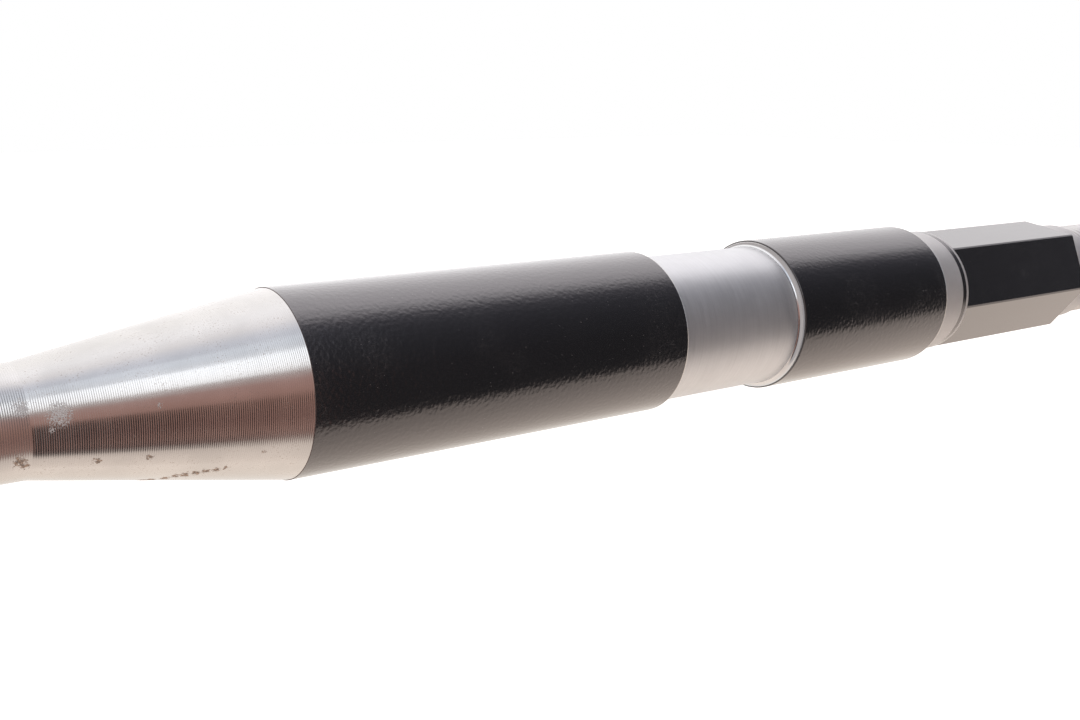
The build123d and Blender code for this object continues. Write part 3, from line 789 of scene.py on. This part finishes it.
def make_inner_housing():
    shoulder = INNER_SHOULDER_R - INNER_HOUSING_R
    floor_angle = 180 - math.degrees(math.asin(SPRING_POCKET_R / INNER_POCKET_R))
    points = [
        (-RACK_THREAD_LENGTH, 0.0, 0.0, "thread"),
        (-RACK_THREAD_LENGTH, RACK_THREAD_R - 1.0 * MM, 0.1 * MM, "thread"),
    ]
    start = 1.0 * MM - RACK_THREAD_LENGTH
    points += straight(start, -0.6 * MM, RACK_THREAD_R, RACK_PITCH / 7, "thread")
    points += [
        (0.0, RACK_THREAD_R, 0.2 * MM, "housing"),
        (0.0, INNER_SHOULDER_R, 0.2 * MM, "housing"),
    ]
    for share in CHAMFER_SHARES:
        along = share * INNER_SHOULDER_CHAMFER
        points.append((along, INNER_SHOULDER_R - share * shoulder, 0.0, "housing"))
    points += [
        (INNER_SHOULDER_CHAMFER, INNER_HOUSING_R, 0.5 * MM, "housing"),
        (INNER_FLAT_LENGTH - 0.2 * MM, INNER_HOUSING_R, 0.0, "housing"),
        (INNER_FLAT_LENGTH, INNER_HOUSING_R, 0.0, "housing"),
        (INNER_FLAT_LENGTH + 0.1 * MM, INNER_HOUSING_R, 0.0, "housing"),
        (INNER_FLAT_LENGTH + 0.5 * MM, INNER_HOUSING_R, 0.0, "housing"),
    ]
    points += arc(INNER_BALL_X, INNER_HOUSING_R, 90, INNER_MOUTH_ANGLE + 3, "housing", count=12)
    points += [
        polar(INNER_BALL_X, INNER_HOUSING_R, INNER_MOUTH_ANGLE, 0.6 * MM, "housing"),
        polar(INNER_BALL_X, INNER_POCKET_R, INNER_MOUTH_ANGLE, 0.4 * MM, "housing"),
    ]
    points += arc(INNER_BALL_X, INNER_POCKET_R, INNER_MOUTH_ANGLE + 3, floor_angle, "housing")
    points += [
        (SPRING_FLOOR_X, SPRING_POCKET_R, 0.0, "housing"),
        (SPRING_FLOOR_X, 0.0, 0.0, "housing"),
    ]
    flat_edge = math.asin(INNER_FLATS / 2 / INNER_HOUSING_R)
    edges = [flat_edge, math.pi - flat_edge, math.pi + flat_edge, FULL_TURN - flat_edge]
    angles = sorted(even_angles(INNER_HOUSING_STEPS) + edges)
    used = ["thread", "housing"]
    piece = turned_piece("inner_socket", rounded(points), angles, used, spanner_flats)
    start = -RACK_THREAD_LENGTH - RACK_PITCH
    cut_thread(piece, start, -1.2 * MM, RACK_PITCH, RACK_THREAD_R, "thread")
    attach(piece, "inner_socket")
    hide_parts("inner_housing")


make_inner_housing()


# Ball stud, turned along X and then hung down from the outer ball's centre

OUTER_BALL_R = 13.0 * MM
STUD_NECK_R = 6.5 * MM
STUD_COLLAR_R = 7.9 * MM
STUD_COLLAR_START = 21.0 * MM
TAPER_START = 29.0 * MM
TAPER_END = 47.0 * MM
TAPER_END_R = 6.775 * MM
STUD_UNDERCUT = 1.2 * MM
STUD_THREAD_R = 6.0 * MM
STUD_END = 66.0 * MM
STUD_PITCH = 1.25 * MM
STUD_STEPS = 96
PIN_HOLE_R = 1.6 * MM
DRILL_LENGTH = 40.0 * MM
PIN_DROP = 60.45 * MM


def hang_down(piece):
    turned_down = Matrix(((0, 0, 1, OUTER_BALL_X), (0, 1, 0, 0), (-1, 0, 0, 0), (0, 0, 0, 1)))
    piece.data.transform(turned_down)


def drill_across(piece, depth_along, radius):
    """Drills a hole along Y through a piece that still lies along X."""
    cutter_mesh = bpy.data.meshes.new("pin_drill")
    drill = bmesh.new()
    turned = Matrix.Translation((depth_along, 0.0, 0.0)) @ Matrix.Rotation(math.pi / 2, 4, "X")
    bmesh.ops.create_cone(
        drill,
        cap_ends=True,
        segments=40,
        radius1=radius,
        radius2=radius,
        depth=DRILL_LENGTH,
        matrix=turned,
    )
    drill.to_mesh(cutter_mesh)
    drill.free()
    cutter = bpy.data.objects.new("pin_drill", cutter_mesh)
    bpy.context.scene.collection.objects.link(cutter)
    modifier = piece.modifiers.new("hole", "BOOLEAN")
    modifier.object = cutter
    modifier.solver = "EXACT"
    keep_result(piece)
    bpy.data.objects.remove(cutter)


def make_ball_stud():
    neck = math.degrees(math.asin(STUD_NECK_R / OUTER_BALL_R))
    pole = math.degrees(math.asin(BALL_POLE_R / OUTER_BALL_R))
    neck_end = STUD_COLLAR_START - STUD_COLLAR_R + STUD_NECK_R
    thread_start = TAPER_END + STUD_UNDERCUT + 0.6 * MM
    points = [(-OUTER_BALL_R * math.cos(math.radians(pole)), 0.0, 0.0, "ball")]
    points += arc(0.0, OUTER_BALL_R, 180 - pole, neck + 6, "ball", count=BALL_STEPS)
    points += [
        (OUTER_BALL_R * math.cos(math.radians(neck)), STUD_NECK_R, 1.2 * MM, "stud"),
        (neck_end, STUD_NECK_R, 0.8 * MM, "stud"),
        (STUD_COLLAR_START, STUD_COLLAR_R, 0.5 * MM, "stud"),
        (TAPER_START, STUD_COLLAR_R, 0.4 * MM, "stud"),
        (TAPER_END, TAPER_END_R, 0.3 * MM, "stud"),
        (TAPER_END, STUD_THREAD_R - STUD_UNDERCUT / 2, 0.2 * MM, "stud"),
        (TAPER_END + STUD_UNDERCUT, STUD_THREAD_R - STUD_UNDERCUT / 2, 0.1 * MM, "stud"),
    ]
    points += straight(thread_start, STUD_END - 1.0 * MM, STUD_THREAD_R, STUD_PITCH / 7, "thread")
    points += [
        (STUD_END, STUD_THREAD_R - 1.0 * MM, 0.1 * MM, "thread"),
        (STUD_END, 0.0, 0.0, "thread"),
    ]
    used = ["ball", "stud", "thread"]
    piece = turned_piece("tapered_ball_stud", rounded(points), even_angles(STUD_STEPS), used)
    cut_thread(piece, thread_start, STUD_END + STUD_PITCH, STUD_PITCH, STUD_THREAD_R, "thread")
    drill_across(piece, PIN_DROP, PIN_HOLE_R)
    hang_down(piece)
    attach(piece, "stud")
    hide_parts("ball_stud")


make_ball_stud()


# Rubber boot in two halves, cut where they meet

# The profile, as (distance below the ball's centre, radius) in millimetres
boot_top = ((12.0, 16.5), (10.8, 16.5))
boot_top_edge = ((10.8, 18.3),)
boot_outside = ((13.3, 18.3), (16.9, 20.75), (20.8, 18.2), (25.1, 12.9), (25.7, 10.45))
boot_lip_edge = ((28.7, 10.45),)
boot_lip_bore = ((28.7, 8.2),)
boot_inside = ((24.7, 8.2), (23.3, 10.4), (20.3, 15.8), (16.9, 19.15), (14.5, 17.7))
boot_step = ((13.0, 17.7), (13.0, 16.5))
BOOT_CURVE_STEPS = 9
BOOT_STEPS = 120
BOOT_MEETING = 20.4 * MM
BULGE_START = 13.5 * MM
LIP_START = 23.9 * MM


def curve_through(points, count):
    """Smooth points through the given ones, both ends included."""
    ends = [points[0], *points, points[-1]]
    result = []
    for first, second, third, fourth in zip(ends, ends[1:], ends[2:], ends[3:]):
        for step in range(count):
            share = step / count
            values = []
            for a, b, c, d in zip(first, second, third, fourth):
                bend = 2 * a - 5 * b + 4 * c - d
                twist = 3 * b - a - 3 * c + d
                values.append(0.5 * (2 * b + (c - a) * share + bend * share**2 + twist * share**3))
            result.append(tuple(values))
    result.append(points[-1])
    return result


def in_mm(points, finish="rubber", rounding=0.0):
    return [(along * MM, radius * MM, rounding * MM, finish) for along, radius in points]


def make_boot():
    """The boot, cut where its halves meet. Each half is closed by a ring at the cut."""
    points = in_mm(boot_top, rounding=0.3) + in_mm(boot_top_edge, rounding=0.4)
    points += in_mm(curve_through(boot_outside, BOOT_CURVE_STEPS))
    points += in_mm(boot_lip_edge, rounding=0.5) + in_mm(boot_lip_bore, rounding=0.3)
    points += in_mm(curve_through(boot_inside, BOOT_CURVE_STEPS))
    points += in_mm(boot_step)
    angles = even_angles(BOOT_STEPS)
    boot = turned_piece("boot_whole", rounded(points), angles, ["rubber"], loop=True)
    for name, first, second, start, end, keep_above in (
        ("boot_upper_half", "outer_end", "outer_seat", BULGE_START, BOOT_MEETING, True),
        ("boot_lower_half", "outer_seat", "outer_pad", BOOT_MEETING, LIP_START, False),
    ):
        half = bpy.data.objects.new(name, boot.data.copy())
        bpy.context.scene.collection.objects.link(half)
        shell = bmesh.new()
        shell.from_mesh(half.data)
        everything = shell.verts[:] + shell.edges[:] + shell.faces[:]
        cut = bmesh.ops.bisect_plane(
            shell,
            geom=everything,
            plane_co=(BOOT_MEETING, 0.0, 0.0),
            plane_no=(1.0, 0.0, 0.0),
            clear_outer=keep_above,
            clear_inner=not keep_above,
        )
        rims = [part for part in cut["geom_cut"] if isinstance(part, bmesh.types.BMEdge)]
        bmesh.ops.bridge_loops(shell, edges=rims)
        for rim in rims:
            rim.smooth = False
        bmesh.ops.recalc_face_normals(shell, faces=shell.faces)
        shell.to_mesh(half.data)
        shell.free()
        hang_down(half)
        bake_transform(half)
        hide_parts("dust_boot")
    bpy.data.objects.remove(boot)


make_boot()


# Pieces whose solids only need their edges broken

SAME_PLACE = 1e-6
FLAT_ENOUGH = math.radians(0.6)
BROKEN_FROM = math.radians(32.0)


def soften_edges(node_name, name, body, finish, width):
    """A copy of a solid's mesh with its sharp edges broken."""
    mesh = frame["nodes"][node_name].data.copy()
    shell = bmesh.new()
    shell.from_mesh(mesh)
    bmesh.ops.remove_doubles(shell, verts=shell.verts, dist=SAME_PLACE)
    bmesh.ops.dissolve_limit(
        shell,
        angle_limit=FLAT_ENOUGH,
        use_dissolve_boundaries=False,
        verts=shell.verts,
        edges=shell.edges,
    )
    shell.to_mesh(mesh)
    shell.free()
    mesh.materials.clear()
    mesh.materials.append(finishes[finish])
    piece = bpy.data.objects.new(name, mesh)
    bpy.context.scene.collection.objects.link(piece)
    mesh.shade_smooth()
    bevel = piece.modifiers.new("broken_edges", "BEVEL")
    bevel.width = width
    bevel.segments = 2
    bevel.limit_method = "ANGLE"
    bevel.angle_limit = BROKEN_FROM
    bevel.use_clamp_overlap = True
    weighted = piece.modifiers.new("even_shading", "WEIGHTED_NORMAL")
    weighted.keep_sharp = True
    keep_result(piece)
    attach(piece, body)
    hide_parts(node_name)


soften_edges("lock_nut", "jam_nut", "outer_end", "zinc", 0.25 * MM)
soften_edges("stud_nut", "castle_nut", "stud", "zinc", 0.22 * MM)
soften_edges(
    "outer_housing", "forged_outer_end", "outer_end", "forging_paint", 0.35 * MM
)


# Pieces whose solids are right as they are

plain_finishes = {
    "inner_ball_seat": "plastic",
    "inner_thrust_pad": "plastic",
    "inner_disc_spring": "spring",
    "outer_cover": "zinc",
    "outer_disc_spring": "spring",
    "outer_thrust_pad": "plastic",
    "outer_ball_seat": "plastic",
    "boot_housing_ring": "spring",
    "boot_stud_ring": "spring",
    "cotter_pin": "zinc",
}
for node_name, finish in plain_finishes.items():
    node = frame["nodes"][node_name]
    node.data.materials.clear()
    node.data.materials.append(finishes[finish])


# Studio: world, lamps, floor

FLOOR_Z = -230.0 * MM
FLOOR_HALF = 6.0

# Camera, placed from the barrel's left end
barrel_end = Vector((BARREL_X, 0.0, 0.0))
CAMERA_OFFSET = Vector((-57.32, -127.85, 31.84)) * MM
CAMERA_HEADING = math.radians(53.37)
CAMERA_PITCH = math.radians(11.99)
CAMERA_LENS = 41.51
SENSOR_WIDTH = 36.0

# Light of the surroundings, by the angle round the rod: 0 is straight up, 90 the camera's side,
# 180 down and -90 behind. The room is seen square to the rod or slanting towards its far end.
square_room = (
    (-180, (1.15, 1.12, 1.11)),
    (-45, (1.20, 1.17, 1.16)),
    (-16, (1.20, 1.18, 1.20)),
    (2, (1.00, 0.97, 0.99)),
    (16, (0.76, 0.78, 0.87)),
    (28, (0.64, 0.68, 0.76)),
    (62, (0.50, 0.46, 0.45)),
    (74, (0.43, 0.26, 0.23)),
    (96, (0.38, 0.21, 0.17)),
    (114, (0.33, 0.18, 0.15)),
    (134, (0.41, 0.24, 0.20)),
    (150, (0.20, 0.14, 0.13)),
    (180, (0.12, 0.09, 0.088)),
)
slanting_room = (
    (-180, (1.32, 1.31, 1.31)),
    (-84, (1.34, 1.32, 1.33)),
    (-50, (1.50, 1.45, 1.47)),
    (-14, (1.50, 1.44, 1.48)),
    (-2, (1.18, 1.14, 1.18)),
    (8, (0.60, 0.58, 0.62)),
    (15, (0.26, 0.255, 0.29)),
    (28, (0.15, 0.15, 0.175)),
    (50, (0.10, 0.10, 0.115)),
    (80, (0.075, 0.073, 0.08)),
    (180, (0.06, 0.056, 0.056)),
)
table = (
    (-180, (1.00, 0.86, 0.76)),
    (-150, (1.00, 0.88, 0.78)),
    (-120, (0.98, 0.92, 0.86)),
    (-90, (1.10, 1.07, 1.05)),
    (90, (1.00, 0.87, 0.79)),
    (180, (1.00, 0.86, 0.76)),
)
FAR_END = (0.92, 0.94, 1.0)
LEFT_SIDE = (0.50, 0.46, 0.45)
CAMERA_SHADE = (0.02, 0.015, 0.016)
TABLE_COLOUR = (0.86, 0.82, 0.78)
TABLE_GLOW = 0.75
BLACK = (0.0, 0.0, 0.0)
WHITE = (1.0, 1.0, 1.0)

# Where the surroundings pass into one another, by how far the direction leans along the rod
LEFT_SIDE_LEAN = (-0.16, -0.45)
CAMERA_LEAN = (-0.01, 0.06)
SLANTING_LEAN = (0.18, 0.44)
SLANTING_DIMMED = (0.46, 0.86)
FAR_END_LEAN = (0.90, 0.97)

# The dark camera's edges, in degrees round the rod, and the table's edge
CAMERA_SHADE_STARTS = (86, 96)
CAMERA_SHADE_ENDS = (150, 156)
TABLE_HEADING = math.radians(64.8)
TABLE_EDGE = (-0.60, -0.40)
TABLE_FADE = (-0.48, 0.3)

# Lamps, as (name, place from the barrel's left end, width, height, radiance, colour)
lamps = (
    ("front_softbox", (0.01, -0.68, 0.54), 0.32, 0.36, 0.80, (0.93, 0.97, 1.0)),
    ("softbox_glow", (-0.01, -0.75, 0.86), 0.5, 0.72, 0.27, (0.90, 0.95, 1.0)),
)


def turn_share(degrees):
    """An angle round the rod as a share of the turn, from -180 degrees."""
    return 0.5 + degrees / 360


def camera_shape(along, turned):
    """1 where the rod sees the dark camera and whoever holds it, 0 elsewhere."""
    sides = 1.0 - along.ramp_up(*CAMERA_LEAN)
    lower = turned.ramp_up(*map(turn_share, CAMERA_SHADE_STARTS))
    upper = 1.0 - turned.ramp_up(*map(turn_share, CAMERA_SHADE_ENDS))
    return sides * lower * upper


def table_shape(along, across, up):
    """1 where the rod sees the table, which ends on the camera's side."""
    beyond = along * math.cos(TABLE_HEADING) + across * math.sin(TABLE_HEADING)
    below = (0.0 - up).most(0.001)
    distance = beyond / below
    edge = distance.ramp_up(*TABLE_EDGE) * 0.74 + distance.ramp_up(*TABLE_FADE) * 0.26
    return edge * (up < 0.0)


def light_world():
    world = bpy.data.worlds.new("studio_surroundings")
    world.use_nodes = True
    bpy.context.scene.world = world
    shader = Shader(world.node_tree)
    background = world.node_tree.nodes["Background"]
    direction = shader.node("ShaderNodeTexCoord", output="Generated")
    along, across, up = shader.axes(direction)
    turned = (0.0 - across).maths("ARCTAN2", up) / FULL_TURN + 0.5
    bands = []
    for surroundings in (square_room, slanting_room, table):
        stops = [(turn_share(angle), colour) for angle, colour in surroundings]
        bands.append(shader.node("ShaderNodeValToRGB", {"Fac": turned}, stops=stops))
    square, slanting, surface = bands
    square = shader.blend(camera_shape(along, turned) * 0.96, square, opaque(CAMERA_SHADE))
    square = shader.blend(along.ramp_up(*LEFT_SIDE_LEAN), square, opaque(LEFT_SIDE))
    slanting = shader.blend(along.ramp_up(*SLANTING_DIMMED) * 0.3, slanting, opaque(BLACK))
    room = shader.blend(along.ramp_up(*SLANTING_LEAN), square, slanting)
    room = shader.blend(along.ramp_up(*FAR_END_LEAN), room, opaque(FAR_END))
    colour = shader.blend(table_shape(along, across, up), room, surface)
    seen = shader.node("ShaderNodeLightPath", output="Is Camera Ray")
    shader.feed(background.inputs["Color"], shader.blend(seen, colour, opaque(WHITE)))


def aim(obj, place, target):
    obj.location = place
    obj.rotation_euler = (Vector(target) - Vector(place)).to_track_quat("-Z", "Y").to_euler()


def add_softbox(name, place, target, width, height, radiance, colour):
    lamp = bpy.data.lights.new(name, "AREA")
    lamp.shape = "RECTANGLE"
    lamp.size = width
    lamp.size_y = height
    lamp.energy = radiance * math.pi * width * height
    lamp.color = colour
    softbox = bpy.data.objects.new(name, lamp)
    bpy.context.scene.collection.objects.link(softbox)
    aim(softbox, place, target)


def add_floor():
    mesh = bpy.data.meshes.new("studio_floor")
    signs = ((-1, -1), (1, -1), (1, 1), (-1, 1))
    corners = [(x * FLOOR_HALF, y * FLOOR_HALF, FLOOR_Z) for x, y in signs]
    mesh.from_pydata(corners, [], [(0, 1, 2, 3)])
    material = bpy.data.materials.new("pale_table")
    material.use_nodes = True
    tree = material.node_tree
    tree.nodes.clear()
    shader = Shader(tree)
    matt = shader.node("ShaderNodeBsdfDiffuse", {"Color": opaque(TABLE_COLOUR)})
    seen = shader.node("ShaderNodeLightPath", output="Is Camera Ray")
    white = {"Color": opaque(WHITE), "Strength": seen * TABLE_GLOW}
    glow = shader.node("ShaderNodeEmission", white)
    lit = shader.node("ShaderNodeAddShader", {0: matt, 1: glow})
    mirrored = shader.node("ShaderNodeLightPath", output="Is Glossy Ray")
    clear = shader.node("ShaderNodeBsdfTransparent")
    both = shader.node("ShaderNodeMixShader", {0: mirrored, 1: lit, 2: clear})
    end = tree.nodes.new("ShaderNodeOutputMaterial")
    shader.feed(end.inputs["Surface"], both)
    mesh.materials.append(material)
    floor = bpy.data.objects.new("studio_floor", mesh)
    bpy.context.scene.collection.objects.link(floor)


def add_camera():
    camera = bpy.data.cameras.new("camera")
    camera.lens = CAMERA_LENS
    camera.sensor_width = SENSOR_WIDTH
    camera.clip_start = 0.005
    camera.clip_end = 50.0
    obj = bpy.data.objects.new("camera", camera)
    bpy.context.scene.collection.objects.link(obj)
    obj.location = barrel_end + CAMERA_OFFSET
    obj.rotation_euler = (math.pi / 2 - CAMERA_PITCH, 0.0, CAMERA_HEADING - math.pi / 2)
    bpy.context.scene.camera = obj


light_world()
add_floor()
for lamp_name, offset, *lamp in lamps:
    add_softbox(lamp_name, barrel_end + Vector(offset), barrel_end, *lamp)
add_camera()
bpy.context.scene.view_settings.view_transform = "Standard"
